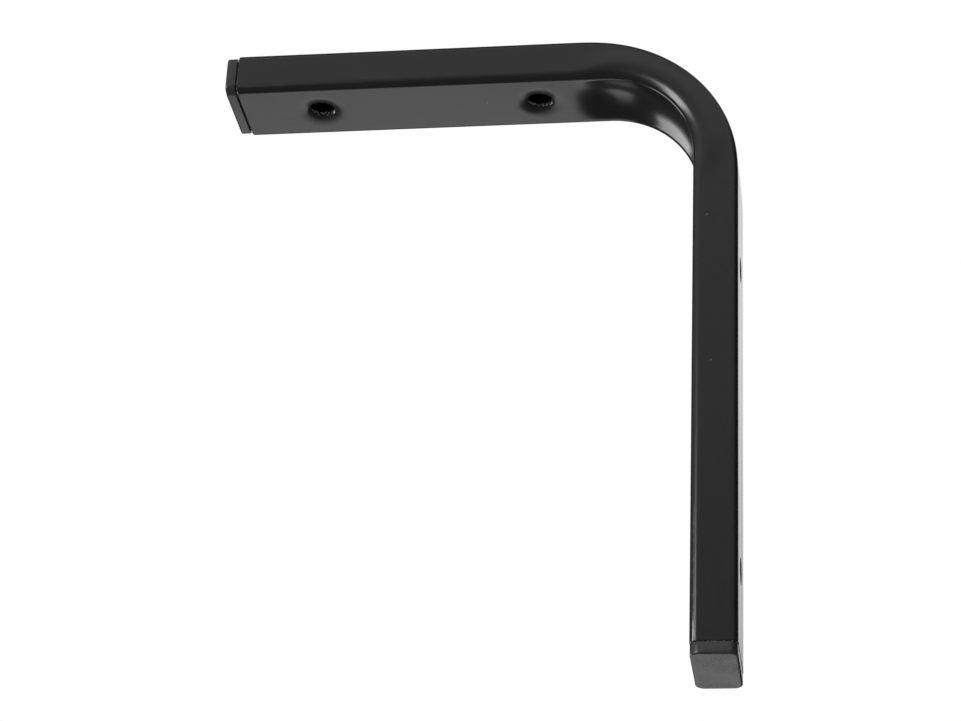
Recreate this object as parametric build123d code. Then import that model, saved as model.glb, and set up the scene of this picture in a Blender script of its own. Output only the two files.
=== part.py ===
from build123d import *
import math
import os

os.makedirs("parts", exist_ok=True)

# Shelf bracket: one flat rectangular steel tube press-bent to a right angle, with a push-in
# plastic cap in each open end. Millimetres. The leg under the shelf runs towards -X, the leg on
# the wall runs towards -Z, the face against the wall looks along +X and +Z is up. The origin is
# on the face against the wall, midway between its two screw holes.

# Tube
tube_width = 20.0
tube_depth = 10.0
wall = 1.0
corner_radius = 1.5
shelf_reach = 118.0
wall_drop = 150.0

# Bend: radii at the tightest place, and the length over which each curve tightens up to it
outer_bend_radius = 34.2
outer_run_in = 10.4
inner_bend_radius = 20.4
inner_run_in = 3.4
dish_depth = 1.8
side_bulge = 0.3
rim_width = 1.7
rim_length = 3.2
press_gain = 1.8
press_power = 1.6

# Screw holes, punched through both walls; the wall on the inside of the bend is drawn in
hole_diameter = 5.5
dimple_diameter = 12.6
dimple_depth = 1.3
dimple_shoulder = 0.55
dimple_steps = 2
dimple_to_bend = 0.1
shelf_hole_to_wall = 46.0
shelf_hole_to_end = 21.0
wall_hole_to_shelf = 56.0
wall_hole_to_end = 22.0

# End caps
cap_thickness = 2.7
cap_inset = 0.35
cap_corner_radius = 1.5
cap_edge_chamfer = 0.3
cap_seat_chamfer = 0.15
plug_length = 10.0
plug_wall = 1.0
plug_to_tube = 0.5
plug_to_dimple = 0.5
rib_to_tube = 0.05
rib_thickness = 0.8
rib_count = 3
rib_tip_setback = 1.5

# How finely the bend is worked out: sections round it, and in the run-in at each end
bend_sections = 8
run_sections = 3
hollow_bend_sections = 4
hollow_run_sections = 2
path_steps = 600
cut_over = 1.0


def turning_path(radius, run_in):
    """Right-angled curve from the line z=0 to the line x=0. Its curvature rises evenly over
    run_in, stays at 1/radius and falls again. Returns points (x, z) from the first line."""
    length = radius * math.pi / 2 + run_in
    step = length / path_steps
    x, z, angle = 0.0, 0.0, 0.0
    points = [(x, z)]
    for i in range(path_steps):
        middle = (i + 0.5) * step
        share = min(middle / run_in, (length - middle) / run_in, 1.0)
        half_turn = share / radius * step / 2
        angle += half_turn
        x += math.cos(angle) * step
        z -= math.sin(angle) * step
        angle += half_turn
        points.append((x, z))
    return [(px - x, pz) for px, pz in points]


outer_path = turning_path(outer_bend_radius, outer_run_in)
inner_path = [(px - tube_depth, pz - tube_depth) for px, pz in turning_path(inner_bend_radius, inner_run_in)]

pivot = -inner_path[0][0]
bend_start = max(-outer_path[0][0], pivot + corner_radius)

end_room = min(shelf_hole_to_end, wall_hole_to_end) - dimple_diameter / 2 - cap_thickness
plug_reach = min(plug_length, end_room - plug_to_dimple)


def height_at(path, flat, x):
    """Height of the path over x, and flat before the path begins."""
    for (xa, za), (xb, zb) in zip(path, path[1:]):
        if xa <= x <= xb:
            return za + (zb - za) * (x - xa) / (xb - xa)
    return flat


def crossing(path, angle):
    """Point where the path crosses the ray that leaves the pivot at angle."""
    if angle >= math.pi / 2:
        return -pivot, height_at(path, path[0][1], -pivot)
    for (xa, za), (xb, zb) in zip(path, path[1:]):
        first = (xa + pivot) * math.sin(angle) - (za + pivot) * math.cos(angle)
        second = (xb + pivot) * math.sin(angle) - (zb + pivot) * math.cos(angle)
        if first <= 0 <= second:
            part = first / (first - second)
            return xa + (xb - xa) * part, za + (zb - za) * part
    return path[-1]


def corner(start, tip, end, inset):
    """One corner of the outline: a quarter circle or ellipse on the skin, which would have its
    sharp point at tip, and cut plainly across inside the tube."""
    if inset > 0:
        return Line(start, end)
    start, tip, end = Vector(start), Vector(tip), Vector(end)
    middle = start + end - tip
    reach = tip - middle
    if math.isclose(abs(reach.X), abs(reach.Y)):
        return ThreePointArc(start, middle + reach * math.sqrt(0.5), end)
    first = math.degrees(math.atan2(start.Y - middle.Y, start.X - middle.X))
    return EllipticalCenterArc(middle, abs(reach.X), abs(reach.Y), start_angle=first, arc_size=-90)


def outline(depth, press, inset):
    """Closed outline of the tube, inset from its skin. press is 0 in a straight leg and 1 in the
    middle of the bend. First axis: from the outer wall to the inner one. Second axis: width."""
    half = tube_width / 2 - inset
    near = inset
    far = depth - inset
    radius = corner_radius - inset
    rim = corner_radius + (rim_width - corner_radius) * press - inset
    long = corner_radius + (rim_length - corner_radius) * press - inset
    side = half + side_bulge * press
    flat = side - rim
    sag = dish_depth * press
    edges = [
        Line((near, radius - half), (near, half - radius)),
        corner((near, half - radius), (near, half), (near + radius, half), inset),
        Spline((near + radius, half), (far - long, side), tangents=[(1, 0), (1, 0)]),
        corner((far - long, side), (far, side), (far, flat), inset),
        Spline(
            (far, flat),
            (far - sag / 2, flat / 2),
            (far - sag, 0),
            (far - sag / 2, -flat / 2),
            (far, -flat),
            tangents=[(0, -1), (0, -1)],
        ),
        corner((far, -flat), (far, -side), (far - long, -side), inset),
        Spline((far - long, -side), (near + radius, -half), tangents=[(-1, 0), (-1, 0)]),
        corner((near + radius, -half), (near, -half), (near, radius - half), inset),
    ]
    return Wire(edges)


def press_at(share):
    """How far the section is pressed at a share of the way from the bend's start to its middle."""
    return math.sin(math.pi / 2 * min(share * press_gain, 1)) ** press_power


def stations(around, along):
    """Outer point, inner point and press of each section, from the shelf leg to the wall leg:
    an even number of steps around the pivot, and some along each run-in before it."""
    first = []
    around = 2 * round(around / 2)
    along = round(along)
    run = bend_start - pivot
    arc = inner_bend_radius * math.pi / 4
    for i in range(along):
        x = -bend_start + run * i / along
        press = press_at(run * i / along / (run + arc))
        first.append(((x, height_at(outer_path, 0.0, x)), (x, -tube_depth), press))
    for i in range(around // 2 + 1):
        turn = math.pi / 2 * i / around
        outer = crossing(outer_path, math.pi / 2 - turn)
        inner = crossing(inner_path, math.pi / 2 - turn)
        press = press_at((run + arc * turn / (math.pi / 4)) / (run + arc))
        first.append((outer, inner, press))
    mirrored = [((oz, ox), (iz, ix), press) for (ox, oz), (ix, iz), press in reversed(first[:-1])]
    return first + mirrored


def skin(inset, over, around, along):
    """Solid inside the tube's outline, inset from its skin; over lengthens both legs."""
    wires = []
    for (ox, oz), (ix, iz), press in stations(around, along):
        depth = math.hypot(ix - ox, iz - oz)
        inward = Vector((ix - ox) / depth, 0, (iz - oz) / depth)
        place = Plane(origin=(ox, 0, oz), x_dir=inward, z_dir=inward.cross(Vector(0, 1, 0)))
        wires.append(place.location * outline(depth, press, inset))
    bend = Solid.make_loft(wires)
    shelf_leg = extrude(Face(wires[0]), shelf_reach - cap_thickness - bend_start + over, dir=(-1, 0, 0))
    wall_leg = extrude(Face(wires[-1]), wall_drop - cap_thickness - bend_start + over, dir=(0, 0, -1))
    return bend + shelf_leg + wall_leg


def dimple():
    """Ring of tube wall drawn in around a punched hole. It lies on z=0 and is drawn towards +z.
    Its face rounds over the shoulder in short cones, and its hidden side is one plain cone."""
    inner = hole_diameter / 2
    outer = dimple_diameter / 2
    shoulder = outer - (outer - inner) * dimple_shoulder
    profile = [(inner, dimple_depth + wall), (outer, wall)]
    for i in range(dimple_steps + 1):
        t = i / dimple_steps
        reach = outer * (1 - t) ** 2 + 2 * shoulder * t * (1 - t) + inner * t ** 2
        profile.append((reach, dimple_depth * t ** 2))
    ring = Polyline(*profile, close=True)
    return revolve(Plane.XZ.location * Face(Wire(ring.edges())), Axis.Z)


def drill(tube, place):
    """Punches one screw hole. place lies on the inner wall's face, its z towards the outer wall."""
    room = wall + cut_over / 2
    opening = Cylinder(dimple_diameter / 2, room + cut_over, align=(Align.CENTER, Align.CENTER, Align.MIN))
    shank = Cylinder(
        hole_diameter / 2,
        wall + 2 * cut_over,
        align=(Align.CENTER, Align.CENTER, Align.MIN),
    )
    tube = tube - place.location * Pos(0, 0, -cut_over) * opening
    tube = tube - place.location * Pos(0, 0, tube_depth - wall - cut_over) * shank
    return tube + place.location * dimple()


def end_cap():
    """Push-in cap. Its seat lies on z=0, its face looks along +z and its plug points to -z."""
    wide = tube_width - 2 * cap_inset
    deep = tube_depth - 2 * cap_inset
    flange = extrude(RectangleRounded(wide, deep, cap_corner_radius), cap_thickness)
    flange = chamfer(flange.edges().group_by(Axis.Z)[-1], cap_edge_chamfer)
    flange = chamfer(flange.edges().group_by(Axis.Z)[0], cap_seat_chamfer)
    room_wide = tube_width - 2 * wall
    room_deep = tube_depth - 2 * wall
    body = extrude(Rectangle(room_wide - 2 * plug_to_tube, room_deep - 2 * plug_to_tube), -plug_reach)
    hollow = extrude(
        Rectangle(
            room_wide - 2 * plug_to_tube - 2 * plug_wall,
            room_deep - 2 * plug_to_tube - 2 * plug_wall,
        ),
        -plug_reach,
    )
    rib_outline = Rectangle(room_wide - 2 * rib_to_tube, room_deep - 2 * rib_to_tube)
    rib_sketch = chamfer(rib_outline.vertices(), corner_radius - wall)
    pitch = (plug_reach - rib_tip_setback) / rib_count
    for i in range(rib_count):
        body = body + Pos(0, 0, -(i + 1) * pitch) * extrude(rib_sketch, rib_thickness)
    return flange + (body - hollow)


straight_start = bend_start + dimple_diameter / 2 + dimple_to_bend
near_shelf_hole = max(shelf_hole_to_wall, straight_start)
far_shelf_hole = shelf_reach - shelf_hole_to_end
upper_wall_hole = max(wall_hole_to_shelf, straight_start)
lower_wall_hole = wall_drop - wall_hole_to_end

tube = skin(0.0, 0.0, bend_sections, run_sections)
tube = tube - skin(wall, cut_over, hollow_bend_sections, hollow_run_sections)
for along in (near_shelf_hole, far_shelf_hole):
    tube = drill(tube, Plane(origin=(-along, 0, -tube_depth), x_dir=(1, 0, 0), z_dir=(0, 0, 1)))
for down in (upper_wall_hole, lower_wall_hole):
    tube = drill(tube, Plane(origin=(-tube_depth, 0, -down), x_dir=(0, 1, 0), z_dir=(1, 0, 0)))

shelf_seat = Plane(
    origin=(-(shelf_reach - cap_thickness), 0, -tube_depth / 2),
    x_dir=(0, 1, 0),
    z_dir=(-1, 0, 0),
)
wall_seat = Plane(
    origin=(-tube_depth / 2, 0, -(wall_drop - cap_thickness)),
    x_dir=(0, 1, 0),
    z_dir=(0, 0, -1),
)
shelf_end_cap = shelf_seat.location * end_cap()
wall_end_cap = wall_seat.location * end_cap()

# The frame's origin is midway between the two holes in the wall leg.
lift = Pos(0, 0, (upper_wall_hole + lower_wall_hole) / 2)
for name, piece in (("tube", tube), ("shelf_end_cap", shelf_end_cap), ("wall_end_cap", wall_end_cap)):
    export_step(lift * piece, f"parts/{name}.step")
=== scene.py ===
import math

import bpy
import numpy as np
from mathutils import Matrix, Vector


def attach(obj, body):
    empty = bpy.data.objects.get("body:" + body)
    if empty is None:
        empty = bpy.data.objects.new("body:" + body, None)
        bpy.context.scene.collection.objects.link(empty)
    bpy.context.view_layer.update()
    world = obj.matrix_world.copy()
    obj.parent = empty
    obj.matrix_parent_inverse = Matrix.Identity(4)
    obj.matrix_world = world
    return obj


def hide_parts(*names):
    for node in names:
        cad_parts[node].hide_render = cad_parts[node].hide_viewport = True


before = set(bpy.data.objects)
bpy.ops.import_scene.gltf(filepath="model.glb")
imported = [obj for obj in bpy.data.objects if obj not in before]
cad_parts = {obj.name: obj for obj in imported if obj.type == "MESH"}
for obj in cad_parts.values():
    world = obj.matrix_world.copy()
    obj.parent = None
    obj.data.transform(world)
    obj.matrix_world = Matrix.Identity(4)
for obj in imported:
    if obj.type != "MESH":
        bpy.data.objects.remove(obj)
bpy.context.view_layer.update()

# Shelf bracket, in millimetres from the corner where the shelf's plane meets the wall's plane.
# The leg under the shelf runs towards -X and the leg on the wall towards -Z.
TUBE_WIDTH, TUBE_DEPTH, WALL = 20.0, 10.0, 1.0
SHELF_END, WALL_END = 115.3, 147.3
LIFT = 92.0
METRE = 0.001

# The section's corners: round on the outer wall, and on the inner wall they reach CORNER_RADIUS
# over it and CORNER_DOWN down the side.
CORNER_RADIUS, CORNER_DOWN, CORNER_EASE = 1.5, 1.9, 0.25

# The bend's outer and inner curves, and how far each eases in
OUTER_BEND, OUTER_RUN = 34.2, 10.4
INNER_BEND, INNER_RUN = 20.4, 3.4

# What the press does in the bend: the dished inner wall, its rims and the swollen sides
DISH_DEPTH, RIM_EASE = 1.8, 0.15
RIM_OVER, RIM_DOWN = 1.7, 3.9
SIDE_BULGE, BULGE_REACH = 0.3, 4.8
PRESS_GAIN, PRESS_POWER = 1.9, 2.3

# Screw holes, by their distances from the corner, the dimples round them and their torn edges
HOLE = 5.5
SHELF_HOLES, WALL_HOLES = (46.0, 97.0), (56.0, 128.0)
DIMPLE, DIMPLE_DEPTH, DIMPLE_ROLL = 12.6, 0.62, 0.27
TEAR_OUT, TEAR_DOWN = 0.11, 0.09
FIRST_SEED, SEED_STEP = 11, 7

# End caps: the cap, each ring of its face by its inset and its share of the sink, the gap to
# the tube, and the ribbed plug
CAP_THICK, CAP_CORNER, CAP_EDGE, CAP_SINK = 2.7, 2.0, 0.35, 0.06
CAP_FACE = ((3.9, 1.0), (2.9, 0.9), (1.9, 0.5), (1.0, 0.1))
CAP_BREAK, SHARPEST = 0.06, 0.3
SHELF_CAP_INSET, SHELF_CAP_GAP = 0.15, 0.4
WALL_CAP_INSET, WALL_CAP_GAP = 0.06, 0.03
NECK = 0.7
PLUG, PLUG_WALL, PLUG_GAP, PLUG_CORNER, HOLLOW_CORNER = 10.0, 1.0, 0.5, 0.3, 0.2
RIBS, RIB, RIB_GAP, RIB_SETBACK = 3, 0.8, 0.05, 1.5

# The round at the tube's ends, and the angle from which an edge is sharp
END_ROUND = 0.22
SHARP_EDGE = 32.0

# Each hole lies in the middle of a square of the grid that reaches SQUARE to each side. Steps
# over that square, beside it, round a corner, down a side, round the bend and along its run-in,
# the length of a step in a leg, the fine steps behind the curves, and those of a cap
SQUARE = 6.4
SQUARE_STEPS, MARGIN_STEPS, CORNER_STEPS, SIDE_STEPS = 24, 2, 8, 14
BEND_STEPS, RUN_STEPS, LEG_STEP = 72, 10, 2.6
PATH_STEPS, CURVE_STEPS = 900, 40
CAP_CORNER_STEPS, CAP_EDGE_STEPS = 10, 5

# The lit window in the dark sheet under the bracket, in metres. It widens away from the camera.
WINDOW_LEFT, WINDOW_RIGHT, WINDOW_SLANT = -0.36, -0.09, 0.22
WINDOW_NEAR, WINDOW_FAR = 0.70, 1.12
WINDOW_LEVEL = 1.6

# The studio, in metres and degrees
FLOOR, CARD, FLOOR_REACH = -0.45, -0.44, 4.0
TARGET = Vector((-0.05692, 0.0, 0.01543))
CAMERA_AZIMUTH, CAMERA_ELEVATION, CAMERA_ROLL = 9.223, -27.603, 2.739
CAMERA_AWAY, CAMERA_LENS, CAMERA_SENSOR = 0.61324, 104.77, 36.0


def eased(t):
    """Smooth step: t squared times (3 - 2t), with t held between 0 and 1."""
    t = np.clip(t, 0.0, 1.0)
    return t * t * (3 - 2 * t)


def turning_path(radius, run_in):
    """Right-angled curve whose curvature rises evenly over run_in, stays at 1/radius and falls
    again: the angle is the running sum of curvature times step, the place that of its cosine
    and sine. Returns x and z, ending on the line x=0."""
    length = radius * math.pi / 2 + run_in
    step = length / PATH_STEPS
    middle = (np.arange(PATH_STEPS) + 0.5) * step
    share = np.minimum(np.minimum(middle, length - middle) / run_in, 1.0)
    turn = share / radius * step
    angle = np.cumsum(turn) - turn / 2
    x = np.concatenate([[0.0], np.cumsum(np.cos(angle)) * step])
    z = np.concatenate([[0.0], -np.cumsum(np.sin(angle)) * step])
    return x - x[-1], z


OUTER_X, OUTER_Z = turning_path(OUTER_BEND, OUTER_RUN)
INNER_X, INNER_Z = (line - TUBE_DEPTH for line in turning_path(INNER_BEND, INNER_RUN))
PIVOT = -INNER_X[0]
BEND_START = max(-OUTER_X[0], PIVOT + CORNER_RADIUS)


def leg_marks(end, holes):
    """Distances from the corner of a leg's sections, from its end to the bend: equal steps over
    each hole's square, and steps of about LEG_STEP between the squares."""
    marks, edge = [], end
    for hole in sorted(holes, reverse=True):
        count = max(2, round((edge - hole - SQUARE) / LEG_STEP))
        marks.append(np.linspace(edge, hole + SQUARE, count + 1)[:-1])
        marks.append(np.linspace(hole + SQUARE, hole - SQUARE, SQUARE_STEPS + 1)[:-1])
        edge = hole - SQUARE
    count = max(1, round((edge - BEND_START) / LEG_STEP))
    marks.append(np.linspace(edge, BEND_START, count + 1)[:-1])
    return np.concatenate(marks)


def half_bend():
    """Sections from the bend's start to its middle: upright ones along the run-in, then ones on
    rays from the pivot. The press is the sine of a quarter turn times the gained share of the
    way along the inner wall, held at its top, to a power."""
    run = np.linspace(BEND_START, PIVOT, RUN_STEPS + 1)[:-1]
    turn = np.linspace(0, math.pi / 4, BEND_STEPS // 2 + 1)
    outer_angle = np.arctan2(OUTER_Z + PIVOT, OUTER_X + PIVOT)
    inner_angle = np.arctan2(INNER_Z + PIVOT, INNER_X + PIVOT)
    ray = math.pi / 2 - turn
    outer = [np.interp(ray, outer_angle[::-1], line[::-1]) for line in (OUTER_X, OUTER_Z)]
    inner = [np.interp(ray, inner_angle[::-1], line[::-1]) for line in (INNER_X, INNER_Z)]
    outer_run = [-run, np.interp(-run, OUTER_X, OUTER_Z)]
    inner_run = [-run, np.full_like(run, -TUBE_DEPTH)]
    way = np.concatenate([BEND_START - run, BEND_START - PIVOT + INNER_BEND * turn])
    press = np.sin(np.minimum(way / way[-1] * PRESS_GAIN, 1.0) * math.pi / 2) ** PRESS_POWER
    joined = [np.concatenate(pair) for pair in zip(outer_run + inner_run, outer + inner)]
    return (*joined, press)


def sections():
    """Outer x and z, inner x and z, and press of every section, from the shelf leg's end to the
    wall leg's. The second half of the bend mirrors the first, with x and z changed over."""
    ox, oz, ix, iz, press = half_bend()
    shelf = leg_marks(SHELF_END, SHELF_HOLES)
    drop = leg_marks(WALL_END, WALL_HOLES)[::-1]
    zero, far = np.zeros_like, np.full_like
    return (
        np.concatenate([-shelf, ox, oz[-2::-1], zero(drop)]),
        np.concatenate([zero(shelf), oz, ox[-2::-1], -drop]),
        np.concatenate([-shelf, ix, iz[-2::-1], far(drop, -TUBE_DEPTH)]),
        np.concatenate([far(shelf, -TUBE_DEPTH), iz, ix[-2::-1], -drop]),
        np.concatenate([zero(shelf), press, press[-2::-1], zero(drop)]),
    )


def corner_curve():
    """A quarter turn whose curvature is low at its ends and high in its middle, as fine shares:
    the tangent angle is a half pi times (s minus a sine of two pi s), and the place is the sum
    of its cosine and sine, scaled to span 1. Returns the way in, the way over and the angle."""
    s = np.linspace(0, 1, CURVE_STEPS * CORNER_STEPS + 1)
    angle = math.pi / 2 * (s - CORNER_EASE * np.sin(2 * math.pi * s) / (2 * math.pi))
    middle = (angle[1:] + angle[:-1]) / 2
    into = np.concatenate([[0.0], np.cumsum(np.sin(middle))])
    over = np.concatenate([[0.0], np.cumsum(np.cos(middle))])
    pick = slice(0, -1, CURVE_STEPS)
    return into[pick] / into[-1], over[pick] / over[-1], angle[pick]


def outline(depth, press, inset):
    """Places and tangents round each section, each array one row a section. The first axis goes
    from the outer wall to the inner one and the second over the width. The outer wall is flat,
    each corner an eased quarter turn, a side swells by an eased step before the rim, and the
    inner wall is dished by a parabola, b = 1 - the square of the way from its middle to its rim,
    that is rounded off at the rim as b squared over (b + ease)."""
    depth, press = depth[:, None], press[:, None]
    half = TUBE_WIDTH / 2 - inset
    near, far = inset, depth - inset
    radius = CORNER_RADIUS - inset
    rim = CORNER_RADIUS + (RIM_OVER - CORNER_RADIUS) * press - inset
    drop = CORNER_DOWN + (RIM_DOWN - CORNER_DOWN) * press - inset
    side = half + SIDE_BULGE * press
    flat = side - rim
    level = TUBE_WIDTH / 2 - CORNER_RADIUS
    steps = np.concatenate([
        np.linspace(-level, -SQUARE, MARGIN_STEPS + 1)[:-1],
        np.linspace(-SQUARE, SQUARE, SQUARE_STEPS + 1)[:-1],
        np.linspace(SQUARE, level, MARGIN_STEPS + 1)[:-1],
    ])[None, :]
    one = np.ones_like(press)
    none = 0 * one * steps
    into, over, angle = (share[None, :] * one for share in corner_curve())
    sin, cos = np.sin(angle), np.cos(angle)

    # The swelling starts within half a corner of the outer wall at the most.
    start = np.maximum(far - drop - BULGE_REACH, near + radius * 0.5)
    rise = far - drop - start

    def swelling(a):
        """Half width and its slope at the place a: an eased step from start to the rim."""
        way = np.clip((a - start) / rise, 0, 1)
        return half + (side - half) * eased(way), (side - half) * 6 * way * (1 - way) / rise

    share = (np.arange(SIDE_STEPS) / SIDE_STEPS)[None, :]
    straight = far - drop - near - radius
    down = near + radius + straight * share
    back = far - drop - straight * share
    y_down, slope_down = swelling(down)
    y_back, slope_back = swelling(back)

    y_wall = steps * flat / level
    bowl = 1 - (y_wall / flat) ** 2
    sag = DISH_DEPTH * press
    a_wall = far - sag * (1 + RIM_EASE) * bowl ** 2 / (bowl + RIM_EASE)
    fall = (1 + RIM_EASE) * bowl * (bowl + 2 * RIM_EASE) / (bowl + RIM_EASE) ** 2
    dish = sag * fall * 2 * y_wall / flat ** 2

    runs = [
        (near + none, steps + none, none, one + none),
        (near + radius * into, half - radius + radius * over, sin, cos),
        (down, y_down, np.ones_like(down), slope_down),
        (far - drop + drop * over, side - rim * into, drop * cos, -rim * sin),
        (a_wall, -y_wall, dish, -np.ones_like(a_wall)),
        (far - drop * into, -(side - rim + rim * over), -drop * sin, -rim * cos),
        (back, -y_back, -np.ones_like(back), slope_back),
        (near + radius - radius * over, -(half - radius * into), -cos, sin),
    ]
    return [np.hstack(column) for column in zip(*runs)]


def skin(lines, inset):
    """Grid of points and of outward normals of the tube's skin, inset from its outside. A point
    is the section's outer point plus the outline's first axis along the section and its second
    along Y. The normal is the cross product of the tangent round the section and the difference
    of neighbouring sections."""
    ox, oz, ix, iz, press = lines
    depth = np.hypot(ix - ox, iz - oz)
    inward = np.stack([(ix - ox) / depth, 0 * depth, (iz - oz) / depth], axis=1)
    a, y, da, dy = outline(depth, press, inset)
    across = np.array([0.0, 1.0, 0.0])
    start = np.stack([ox, 0 * ox, oz], axis=1)[:, None, :]
    points = start + a[..., None] * inward[:, None, :] + y[..., None] * across
    around = da[..., None] * inward[:, None, :] + dy[..., None] * across
    along = np.gradient(points, axis=0)
    normals = np.cross(around, along)
    normals /= np.linalg.norm(normals, axis=2, keepdims=True)
    return points, normals


def ragged(angle, seed, low, high):
    """Rough edge round a hole: a sum of sine waves of the angle, from low to high waves a turn,
    with seeded heights that fall with the root of the wave number, scaled to about 1."""
    chance = np.random.default_rng(seed)
    waves = np.arange(low, high)[:, None]
    height = chance.normal(size=waves.shape) / np.sqrt(waves)
    phase = chance.uniform(0, 2 * math.pi, waves.shape)
    total = (height * np.sin(waves * angle + phase)).sum(axis=0)
    return total / np.abs(total).max()


def dimple_rings():
    """Radius, depth and raggedness of each ring of a drawn-in hole, from its outer edge over the
    punched lip and through the wall to the hidden side. With t the share of the way inwards, the
    face sinks by a gentle power of t and, near the lip, rolls in by a high one. The hidden side
    is the same curve, a wall lower."""
    inner, outer = HOLE / 2, DIMPLE / 2
    t = np.linspace(0, 1, 17)
    reach = outer - (outer - inner) * t
    sunk = DIMPLE_DEPTH * ((1 - DIMPLE_ROLL) * t ** 2 + DIMPLE_ROLL * t ** 14)
    lip = np.array([[0.05, 0.06, 0.4], [0.0, 0.16, 0.7]])
    collar = np.array([[-0.02, 0.4, 1.2], [0.0, 0.62, 1.5], [0.02, 0.82, 1.8], [0.06, 0.98, 2.0]])
    edge = np.vstack([lip, collar]) + np.array([inner, DIMPLE_DEPTH, 0.0])
    face = np.stack([reach, sunk, 0.2 * t ** 8], axis=1)[:-1]
    hidden = np.stack([reach + 0.1 * t, sunk + WALL, 0 * t], axis=1)[-2::-1]
    return np.vstack([face, edge, hidden])


def plain_rings():
    """Radius, depth and raggedness of each ring of a plain punched hole: the face rolls in a
    little to the punch, and the wall breaks out ragged on its hidden side."""
    inner = HOLE / 2
    face = np.array([[2.6, 0.0, 0.0], [1.6, 0.0, 0.0], [0.9, 0.01, 0.0], [0.5, 0.03, 0.05]])
    lip = np.array([[0.24, 0.08, 0.1], [0.1, 0.16, 0.2], [0.02, 0.28, 0.3], [0.0, 0.5, 0.5]])
    tear = np.array([[0.0, 0.75, 0.9], [0.05, 0.96, 1.3], [0.15, 1.0, 0.8]])
    hidden = np.array([[1.4, 1.0, 0.0], [2.6, 1.0, 0.0]])
    return np.vstack([face, lip, tear, hidden]) + np.array([inner, 0.0, 0.0])


def hole_patch(points_out, points_in, rings, seed):
    """Rings of points that join the edge of a square in the outer skin to the same square in the
    inner one through a hole, and how torn each ring is. Each ring lies at its radius round the
    square's middle, at its depth below the skin, and is shifted out and down by the ragged edge.
    Two blended rings lie between each square and the first circle."""
    middle = (points_out.min(axis=0) + points_out.max(axis=0)) / 2
    below = (points_in - points_out).mean(axis=0)
    below /= np.linalg.norm(below)
    spread = points_out - middle
    length = np.linalg.norm(spread, axis=1, keepdims=True)
    aim = spread / length
    angle = np.arctan2(spread[:, 1], spread @ np.cross(below, [0.0, 1.0, 0.0]))
    tear = ragged(angle, seed, 3, 30)
    drop = ragged(angle, seed + 1, 2, 24)
    made, torn = [], []
    for share in (0.4, 0.75):
        made.append(middle + aim * (length * (1 - share) + rings[0, 0] * share))
        torn.append(0.0)
    for radius, depth, rough in rings:
        out = radius + TEAR_OUT * rough * tear[:, None]
        sunk = depth + TEAR_DOWN * rough * drop[:, None]
        made.append(middle + aim * out + below * sunk)
        torn.append(rough)
    for share in (0.75, 0.4):
        made.append(middle + aim * (length * (1 - share) + rings[-1, 0] * share) + below * WALL)
        torn.append(0.0)
    return made, torn


def ring_faces(first, second):
    """Quads between two closed rings of vertex numbers."""
    return np.stack([first, np.roll(first, -1), np.roll(second, -1), second], axis=1)


def square_edge(row, column, grid):
    """Vertex numbers round the edge of a square of SQUARE_STEPS cells whose first corner lies at
    row and column of a grid of numbers."""
    n = SQUARE_STEPS
    return np.concatenate([
        grid[row, column:column + n],
        grid[row:row + n, column + n],
        grid[row + n, column + n:column:-1],
        grid[row + n:row:-1, column],
    ])


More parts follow.
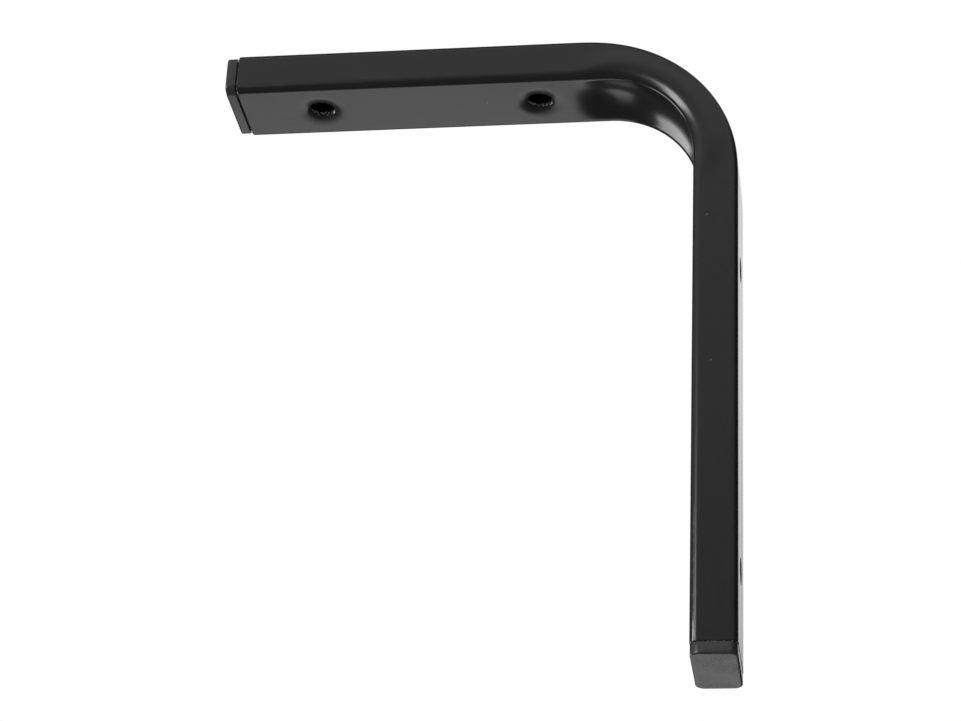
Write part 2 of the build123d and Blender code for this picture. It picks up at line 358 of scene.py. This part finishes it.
def bent_tube():
    """The painted tube: an outer and an inner skin on the same grid, closed by a rounded ring at
    each end, with a patch through each wall at each of the four screw holes. Returns points,
    quads, normals, which are zero where the mesh's own serve, and how torn each point is."""
    lines = sections()
    outer, outer_normals = skin(lines, 0.0)
    inner, inner_normals = skin(lines, WALL)
    lip = skin(lines, END_ROUND)[0][[0, -1]]
    for row, next_row in ((0, 1), (-1, -2)):
        pull = outer[next_row] - outer[row]
        outer[row] += pull / np.linalg.norm(pull, axis=1, keepdims=True) * END_ROUND
    rows, columns = outer.shape[:2]
    size = rows * columns
    numbers = np.arange(size).reshape(rows, columns)
    inner_numbers = numbers + size
    lip_numbers = 2 * size + np.arange(2 * columns).reshape(2, columns)
    vertices = [outer.reshape(-1, 3), inner.reshape(-1, 3), lip.reshape(-1, 3)]
    worn = [np.zeros(2 * size), np.ones(2 * columns)]
    count = 2 * size + 2 * columns

    ox, oz, press = lines[0], lines[1], lines[4]
    along_shelf = np.where((press == 0) & (oz == 0), -ox, 0.0)
    along_wall = np.where((press == 0) & (ox == 0), -oz, 0.0)
    wall_columns = 2 * MARGIN_STEPS + SQUARE_STEPS
    inner_wall = wall_columns + 2 * CORNER_STEPS + SIDE_STEPS
    faces_of_hole = (
        (MARGIN_STEPS, plain_rings()),
        (inner_wall + MARGIN_STEPS, dimple_rings()),
    )
    keep = np.ones((rows - 1, columns), bool)
    patches = []
    seed = FIRST_SEED
    for place, holes in ((along_shelf, SHELF_HOLES), (along_wall, WALL_HOLES)):
        for hole in holes:
            row = np.argmax(np.abs(place - hole) < SQUARE + 1e-6)
            for column, rings in faces_of_hole:
                keep[row:row + SQUARE_STEPS, column:column + SQUARE_STEPS] = False
                edge = square_edge(row, column, numbers)
                skin_edge, hidden_edge = (grid.reshape(-1, 3)[edge] for grid in (outer, inner))
                made, torn = hole_patch(skin_edge, hidden_edge, rings, seed)
                loops = [edge]
                for ring, amount in zip(made, torn):
                    vertices.append(ring)
                    worn.append(np.full(len(ring), amount))
                    loops.append(count + np.arange(len(ring)))
                    count += len(ring)
                loops.append(edge + size)
                patches += [ring_faces(a, b) for a, b in zip(loops, loops[1:])]
                seed += SEED_STEP

    right = np.roll(numbers, -1, axis=1)
    quads = np.stack([numbers[:-1], right[:-1], right[1:], numbers[1:]], axis=2)[keep]
    ends = []
    for row, ring, way in ((0, lip_numbers[0], 1), (-1, lip_numbers[1], -1)):
        strips = (ring_faces(ring, numbers[row]), ring_faces(inner_numbers[row], ring))
        ends += [strip[:, ::way] for strip in strips]
    faces = np.vstack([quads, quads[:, ::-1] + size, *ends, *patches])

    points = np.vstack(vertices)
    normals = np.zeros_like(points)
    for k, grid in enumerate((outer_normals, -inner_normals)):
        grid[[0, -1]] = 0
        normals[k * size:(k + 1) * size] = grid.reshape(-1, 3)
    used, compact = np.unique(faces, return_inverse=True)
    return points[used], compact.reshape(faces.shape), normals[used], np.concatenate(worn)[used]


def rounded_loop(wide, deep, radius):
    """Closed loop of a rectangle, given by half its width and half its depth, whose corners are
    quarter circles: each corner's middle plus radius times cosine and sine of an even angle."""
    angle = np.linspace(0, math.pi / 2, CAP_CORNER_STEPS + 1)
    arcs = []
    for turn, across, down in ((0, 1, 1), (1, -1, 1), (2, -1, -1), (3, 1, -1)):
        middle = np.array([across * (wide - radius), down * (deep - radius)])
        swing = angle + turn * math.pi / 2
        arcs.append(middle + radius * np.stack([np.cos(swing), np.sin(swing)], axis=1))
    return np.vstack(arcs)


def cap_rings(inset, gap):
    """Half width, half depth, corner radius and height of each ring of an end cap, from the
    middle of its face over the rounded edge and down the side, in to the neck that keeps a gap
    to the tube, down the ribbed plug and up its hollow. The seat lies at height 0 and the face
    above it. The face sinks a little."""
    wide, deep = TUBE_WIDTH / 2 - inset, TUBE_DEPTH / 2 - inset
    rings = [(less, CAP_THICK - CAP_SINK * sunk) for less, sunk in CAP_FACE]
    rings.append((CAP_EDGE + CAP_BREAK, CAP_THICK))
    for turn in np.linspace(0, math.pi / 2, CAP_EDGE_STEPS + 1):
        rings.append((CAP_EDGE * (1 - math.sin(turn)), CAP_THICK - CAP_EDGE * (1 - math.cos(turn))))
    rings.append((0.0, CAP_THICK - CAP_EDGE - CAP_BREAK))
    rings += [(0.0, gap + 0.14), (0.03, gap + 0.05), (0.1, gap)]
    rings += [(NECK, gap), (NECK, 0.0)]
    loops = [(wide - less, deep - less, max(CAP_CORNER - less, SHARPEST), z) for less, z in rings]

    room_wide, room_deep = TUBE_WIDTH / 2 - WALL, TUBE_DEPTH / 2 - WALL
    body = (room_wide - PLUG_GAP, room_deep - PLUG_GAP, PLUG_CORNER)
    rib = (room_wide - RIB_GAP, room_deep - RIB_GAP, CORNER_RADIUS - WALL)
    hollow = (body[0] - PLUG_WALL, body[1] - PLUG_WALL, HOLLOW_CORNER)
    loops.append((*body, 0.0))
    pitch = (PLUG - RIB_SETBACK) / RIBS
    for k in range(1, RIBS + 1):
        low, high = -k * pitch, RIB - k * pitch
        loops += [(*body, high), (*rib, high), (*rib, low), (*body, low)]
    return loops + [(*body, -PLUG), (*hollow, -PLUG), (*hollow, 0.0)]


def end_cap(seat, across, down, out, inset, gap):
    """An end cap whose seat's middle lies at seat, with its width along across, its depth along
    down and its face towards out. Quads join its rings and close the first and last of them."""
    across, down, out = (np.array(way, float) for way in (across, down, out))
    loops = []
    for wide, deep, radius, height in cap_rings(inset, gap):
        flat = rounded_loop(wide, deep, radius)
        loops.append(np.array(seat) + flat[:, :1] * across + flat[:, 1:] * down + height * out)
    size = len(loops[0])
    numbers = np.arange(size * len(loops)).reshape(len(loops), size)
    faces = [ring_faces(a, b) for a, b in zip(numbers, numbers[1:])]
    half = np.arange(size // 2 - 1)
    strip = np.stack([half, size - 1 - half, size - 2 - half, half + 1], axis=1)
    faces += [strip, strip[:, ::-1] + numbers[-1, 0]]
    return np.vstack(loops), np.vstack(faces)


def placed(points):
    """Points in metres in the frame of the bracket, whose origin is midway between the two
    screw holes in the wall leg."""
    return (points + np.array([0.0, 0.0, LIFT])) * METRE


def piece_from(name, points, faces, normals=None, torn=None):
    """Puts arrays of points and quads into a mesh, turned the right way out by the sign of its
    volume, smooth but for edges sharper than SHARP_EDGE degrees. Normals that aren't zero are
    kept as the surface's own, and torn is stored for the finish to read."""
    a, b, c, d = (points[faces[:, k]] for k in range(4))
    volume = (np.cross(a, b) * c).sum() + (np.cross(a, c) * d).sum()
    if volume < 0:
        faces = faces[:, ::-1]
    mesh = bpy.data.meshes.new(name)
    mesh.from_pydata(placed(points).tolist(), [], faces.tolist())
    mesh.polygons.foreach_set("use_smooth", np.ones(len(faces), bool))
    mesh.set_sharp_from_angle(angle=math.radians(SHARP_EDGE))
    if normals is not None:
        shown = np.empty(len(mesh.loops) * 3, np.float32)
        mesh.corner_normals.foreach_get("vector", shown)
        shown = shown.reshape(-1, 3)
        number = np.empty(len(mesh.loops), np.int32)
        mesh.loops.foreach_get("vertex_index", number)
        own = normals[number]
        known = np.linalg.norm(own, axis=1) > 0.5
        turned = np.sign((own * shown).sum(axis=1))[:, None]
        shown[known] = (own * turned)[known]
        mesh.normals_split_custom_set(shown.tolist())
    if torn is not None:
        attribute = mesh.attributes.new("torn", "FLOAT", "POINT")
        attribute.data.foreach_set("value", torn.astype(np.float32))
    mesh.update()
    piece = bpy.data.objects.new(name, mesh)
    bpy.context.scene.collection.objects.link(piece)
    return piece


class Signal:
    """A socket of a material or world. Arithmetic on it adds Math nodes."""

    def __init__(self, socket):
        self.socket = socket

    @classmethod
    def of(cls, tree, kind, settings=None, sockets=None, out=0):
        """Any node: its settings first, then the values or links of its sockets."""
        node = tree.nodes.new(kind)
        for name, value in (settings or {}).items():
            setattr(node, name, value)
        for name, value in (sockets or {}).items():
            if isinstance(value, Signal):
                tree.links.new(value.socket, node.inputs[name])
            else:
                node.inputs[name].default_value = value
        return cls(node.outputs[out]) if node.outputs else None

    def step(self, operation, first, second=0.0):
        """One Math node."""
        tree = self.socket.id_data
        return Signal.of(tree, "ShaderNodeMath", {"operation": operation}, {0: first, 1: second})

    def __add__(self, other):
        return self.step("ADD", self, other)

    def __radd__(self, other):
        return self.step("ADD", other, self)

    def __sub__(self, other):
        return self.step("SUBTRACT", self, other)

    def __rsub__(self, other):
        return self.step("SUBTRACT", other, self)

    def __mul__(self, other):
        return self.step("MULTIPLY", self, other)

    def __rmul__(self, other):
        return self.step("MULTIPLY", other, self)

    def __abs__(self):
        return self.step("ABSOLUTE", self)

    def over(self, low, high):
        """0 below low, 1 above high, and eased between."""
        return Signal.of(
            self.socket.id_data, "ShaderNodeMapRange", {"interpolation_type": "SMOOTHSTEP"},
            {"Value": self, "From Min": low, "From Max": high, "To Min": 0.0, "To Max": 1.0},
        )

    def under(self, low, high):
        """1 below low, 0 above high, and eased between."""
        return 1 - self.over(low, high)


def new_finish(name):
    """A material with an empty tree, its tree and its coordinates in metres."""
    material = bpy.data.materials.new(name)
    material.use_nodes = True
    tree = material.node_tree
    tree.nodes.clear()
    return material, tree, Signal.of(tree, "ShaderNodeTexCoord", out="Object")


def parts_of(tree, vector):
    """The X, Y and Z of a vector."""
    return [Signal.of(tree, "ShaderNodeSeparateXYZ", {}, {"Vector": vector}, axis) for axis in "XYZ"]


def noise(tree, place, scale, detail=2.0, roughness=0.5):
    """Noise between 0 and 1, with about scale waves along each unit of place."""
    return Signal.of(
        tree, "ShaderNodeTexNoise", {"normalize": True},
        {"Vector": place, "Scale": scale, "Detail": detail, "Roughness": roughness},
    )


def stretched(tree, place, scale, turn=(0.0, 0.0, 0.0)):
    """The coordinates turned, then scaled by a different number along each axis."""
    return Signal.of(tree, "ShaderNodeMapping", {}, {"Vector": place, "Rotation": turn, "Scale": scale})


def blended(tree, factor, first, second):
    """The first colour where the factor is 0 and the second where it is 1."""
    return Signal.of(
        tree, "ShaderNodeMix", {"data_type": "RGBA"}, {0: factor, 6: first, 7: second}, out=2,
    )


def specks(tree, place, scale, size, share):
    """Sparse round dots: near a cell's middle, in that share of the cells."""
    cells = {"Vector": place, "Scale": scale, "Randomness": 1.0}
    away = Signal.of(tree, "ShaderNodeTexVoronoi", {}, cells, "Distance")
    chance = Signal.of(tree, "ShaderNodeTexVoronoi", {}, cells, "Color")
    chosen = Signal.of(tree, "ShaderNodeSeparateColor", {}, {"Color": chance}, "Red")
    return away.under(size * 0.6, size) * chosen.over(1 - share - 0.001, 1 - share)


def finished(tree, colour, roughness, height, distance, ior):
    """The shader of a finish, with its height as a bump of distance metres."""
    relief = {"Strength": 1.0, "Distance": distance, "Height": height}
    bump = Signal.of(tree, "ShaderNodeBump", {}, relief)
    shader = Signal.of(
        tree, "ShaderNodeBsdfPrincipled", {},
        {"Base Color": colour, "Roughness": roughness, "Normal": bump, "IOR": ior},
    )
    Signal.of(tree, "ShaderNodeOutputMaterial", {}, {"Surface": shader})


def black_paint():
    """Satin black paint: a fine grain, a soft orange peel, faint cloudy changes of gloss, a few
    light specks, hairline scratches, bare torn edges, and the bead of paint down one corner of
    the wall leg with a painted highlight along it, brightest at its low end."""
    material, tree, place = new_finish("satin_black_paint")
    x, y, z = parts_of(tree, place)
    grain = noise(tree, place, 2400.0, 3.0, 0.6)
    peel = noise(tree, place, 420.0, 2.0)
    cloud = noise(tree, place, 38.0, 3.0)
    dots = specks(tree, place, 190.0, 0.026, 0.6)
    streaks = noise(tree, stretched(tree, place, (90.0, 2600.0, 14.0), (0.0, 0.35, 0.5)), 1.0, 1.0)
    hair = streaks.over(0.745, 0.77) * cloud.over(0.52, 0.6)

    # The bead lies on the corner between the inner wall and the near side, low on the wall leg.
    # Its relief is a bump; its light colour is a painted highlight, brighter and wider at the low end.
    off_line = abs(x + 0.00922) + abs(y + 0.00984)
    wander = noise(tree, place, 420.0, 3.0, 0.7)
    ripple = noise(tree, place, 1500.0, 2.0, 0.7)
    low = z.under(-0.053, -0.048)
    thin = (off_line + wander * 0.0003 - low * 0.0001).under(0.00018, 0.00032)
    bead_and_highlight = thin * z.under(-0.030, -0.022)

    torn = Signal.of(tree, "ShaderNodeAttribute", {"attribute_name": "torn"}, out="Fac")
    bare = torn.over(0.3, 1.2) * noise(tree, place, 2600.0, 2.0, 0.7).over(0.53, 0.62)

    marks = (dots + hair * 0.25).over(0.0, 1.0)
    base = blended(tree, cloud, (0.0075, 0.0075, 0.0078, 1), (0.0105, 0.0105, 0.0108, 1))
    dusty = blended(tree, marks * 0.5, base, (0.42, 0.42, 0.42, 1))
    chipped = blended(tree, bare * 0.8, dusty, (0.34, 0.34, 0.35, 1))
    # Painted highlight along the bead: light grey, broken up by the ripple, brighter at the low end.
    painted_bead_highlight = bead_and_highlight * (ripple.over(0.42, 0.56) * 0.3 + low * 0.6)
    colour = blended(tree, painted_bead_highlight, chipped, (0.40, 0.40, 0.40, 1))
    gloss = 0.155 + cloud * 0.05 + grain * 0.05 + marks * 0.2 + bare * 0.15
    height = grain * 0.35 + peel * 0.9 + dots * 0.8 + bead_and_highlight * (1.0 + ripple * 4.0) - hair * 0.5
    finished(tree, colour, gloss, height + torn * ripple * 4.0, 0.00002, 1.45)
    return material


def black_plastic():
    """Moulded black plastic with a fine spark-eroded texture, a cloudy gloss and a few light
    specks."""
    material, tree, place = new_finish("moulded_black_plastic")
    grain = noise(tree, place, 3200.0, 2.0, 0.6)
    soft = noise(tree, place, 260.0, 2.0)
    cloud = noise(tree, place, 150.0, 2.0)
    dots = specks(tree, place, 240.0, 0.03, 0.6)
    base = blended(tree, cloud, (0.017, 0.017, 0.0172, 1), (0.025, 0.025, 0.0253, 1))
    colour = blended(tree, dots * 0.5, base, (0.4, 0.4, 0.4, 1))
    gloss = 0.17 + grain * 0.06 + cloud * 0.12
    finished(tree, colour, gloss, grain * 0.5 + soft * 0.8 + dots, 0.00002, 1.47)
    return material


def pale_floor():
    """Matt off-white floor with a hardly visible mottle."""
    material, tree, place = new_finish("pale_floor")
    mottle = noise(tree, place, 3.0, 3.0)
    colour = blended(tree, mottle, (0.78, 0.78, 0.78, 1), (0.82, 0.82, 0.82, 1))
    finished(tree, colour, 0.9 + mottle * 0.05, mottle, 0.0002, 1.3)
    return material


def window_card():
    """Black sheet with one lit window that widens and brightens away from the camera, and whose
    edges are soft."""
    material, tree, place = new_finish("window_card")
    x, y, z = parts_of(tree, place)
    widening = (y - WINDOW_NEAR) * WINDOW_SLANT
    right_edge = (x - widening).under(WINDOW_RIGHT, WINDOW_RIGHT + 0.05)
    across = (x + widening).over(WINDOW_LEFT - 0.03, WINDOW_LEFT) * right_edge
    along = y.over(WINDOW_NEAR - 0.4, WINDOW_NEAR) * y.under(WINDOW_FAR, WINDOW_FAR + 0.15)
    brighter = 0.76 + y.over(0.82, 0.98) * 0.24
    glow = blended(tree, across * along * brighter, (0.02, 0.02, 0.02, 1), (1, 1, 1, 1))
    shader = Signal.of(
        tree, "ShaderNodeBsdfPrincipled", {},
        {"Base Color": (0, 0, 0, 1), "Roughness": 1.0, "Emission Color": glow,
         "Emission Strength": WINDOW_LEVEL},
    )
    Signal.of(tree, "ShaderNodeOutputMaterial", {}, {"Surface": shader})
    return material


def fitted(piece, material, node):
    """Gives a piece its finish, and puts it in the place of the plain node."""
    piece.data.materials.append(material)
    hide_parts(node)
    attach(piece, "root")


def wide_sheet(name, height, material):
    """A level sheet of the stage at a height, which reaches FLOOR_REACH to each side."""
    corners = [
        (x * FLOOR_REACH, y * FLOOR_REACH, height) for x, y in ((-1, -1), (1, -1), (1, 1), (-1, 1))
    ]
    mesh = bpy.data.meshes.new(name)
    mesh.from_pydata(corners, [], [(0, 1, 2, 3)])
    mesh.materials.append(material)
    sheet = bpy.data.objects.new(name, mesh)
    bpy.context.scene.collection.objects.link(sheet)
    return sheet


def studio_camera():
    """The camera lies CAMERA_AWAY from the target. Its azimuth turns from -Y towards +X."""
    azimuth, elevation, roll = (
        math.radians(angle) for angle in (CAMERA_AZIMUTH, CAMERA_ELEVATION, CAMERA_ROLL)
    )
    back = Vector((
        math.sin(azimuth) * math.cos(elevation),
        -math.cos(azimuth) * math.cos(elevation),
        math.sin(elevation),
    ))
    level_right = (-back).cross(Vector((0, 0, 1))).normalized()
    level_up = level_right.cross(-back)
    right = level_right * math.cos(roll) + level_up * math.sin(roll)
    up = level_up * math.cos(roll) - level_right * math.sin(roll)
    lens = bpy.data.cameras.new("camera")
    lens.sensor_fit = "HORIZONTAL"
    lens.sensor_width = CAMERA_SENSOR
    lens.lens = CAMERA_LENS
    lens.clip_start = 0.01
    camera = bpy.data.objects.new("camera", lens)
    turned = Matrix((right, up, back)).transposed().to_4x4()
    camera.matrix_world = Matrix.Translation(TARGET + back * CAMERA_AWAY) @ turned
    bpy.context.scene.collection.objects.link(camera)
    bpy.context.scene.camera = camera


def softbox(name, aim, away, width, height, level, roll=0.0):
    """An area lamp of an even brightness of level, away metres from the bracket's middle in the
    direction aim, facing it and turned by roll degrees about that direction."""
    lamp = bpy.data.lights.new(name, "AREA")
    lamp.shape = "RECTANGLE"
    lamp.size, lamp.size_y = width, height
    lamp.energy = level * math.pi * width * height
    holder = bpy.data.objects.new(name, lamp)
    way = Vector(aim).normalized()
    facing = way.to_track_quat("Z", "Y").to_matrix().to_4x4()
    turned = Matrix.Rotation(math.radians(roll), 4, way) @ facing
    holder.matrix_world = Matrix.Translation(TARGET + way * away) @ turned
    holder.visible_camera = False
    bpy.context.scene.collection.objects.link(holder)
    return holder


def studio_world():
    """White to the camera. To everything else it is a soft studio: bright above and behind the
    bracket, growing brighter with height in front, and dark to the right and below."""
    world = bpy.data.worlds.new("studio")
    bpy.context.scene.world = world
    world.use_nodes = True
    tree = world.node_tree
    tree.nodes.clear()
    way = Signal.of(tree, "ShaderNodeTexCoord", out="Generated")
    x, y, z = parts_of(tree, way)
    seen = Signal.of(tree, "ShaderNodeLightPath", out="Is Camera Ray")
    behind = y.over(0.2, 0.5) * z.over(0.32, 0.38) * x.over(-0.5, -0.16) * x.under(0.35, 0.6)
    in_front = z.over(0.0, 0.15) * 0.14 + z.over(0.2, 0.75) * 0.72
    faded = z.under(0.80, 0.95) * y.under(-0.2, 0.4) * x.under(0.35, 0.8)
    level = 0.03 + behind * (0.92 + z.over(0.40, 0.47) * 0.28) + in_front * faded
    strength = seen + (1 - seen) * level
    light = Signal.of(tree, "ShaderNodeBackground", {}, {"Color": (1, 1, 1, 1), "Strength": strength})
    Signal.of(tree, "ShaderNodeOutputWorld", {}, {"Surface": light})


paint = black_paint()
plastic = black_plastic()
fitted(piece_from("bracket_tube", *bent_tube()), paint, "tube")

ACROSS, TO_END, DOWN, UP = (0, 1, 0), (-1, 0, 0), (0, 0, -1), (0, 0, 1)
shelf_seat, wall_seat = (-SHELF_END, 0, -TUBE_DEPTH / 2), (-TUBE_DEPTH / 2, 0, -WALL_END)
shelf_cap = end_cap(shelf_seat, ACROSS, UP, TO_END, SHELF_CAP_INSET, SHELF_CAP_GAP)
fitted(piece_from("shelf_leg_cap", *shelf_cap), plastic, "shelf_end_cap")
wall_cap = end_cap(wall_seat, ACROSS, TO_END, DOWN, WALL_CAP_INSET, WALL_CAP_GAP)
fitted(piece_from("wall_leg_cap", *wall_cap), plastic, "wall_end_cap")

wide_sheet("floor", FLOOR, pale_floor())
studio_camera()
softbox(
    "front_left_softbox", (-0.637, -0.759, 0.110), away=1.3, width=0.92, height=0.36, level=12.5,
    roll=31.0,
)
softbox("back_left_softbox", (-0.849, 0.510, -0.139), away=0.8, width=0.25, height=0.58, level=6.0)
fill = softbox("top_fill", (0.0, 0.1, 1.0), away=1.6, width=2.2, height=2.2, level=2.2)
fill.visible_glossy = False

# A dark sheet over the floor with one lit window, which shows only in reflections.
card = wide_sheet("window_card", CARD, window_card())
card.visible_camera = card.visible_diffuse = card.visible_shadow = False
studio_world()

scene = bpy.context.scene
scene.view_settings.view_transform = "Standard"
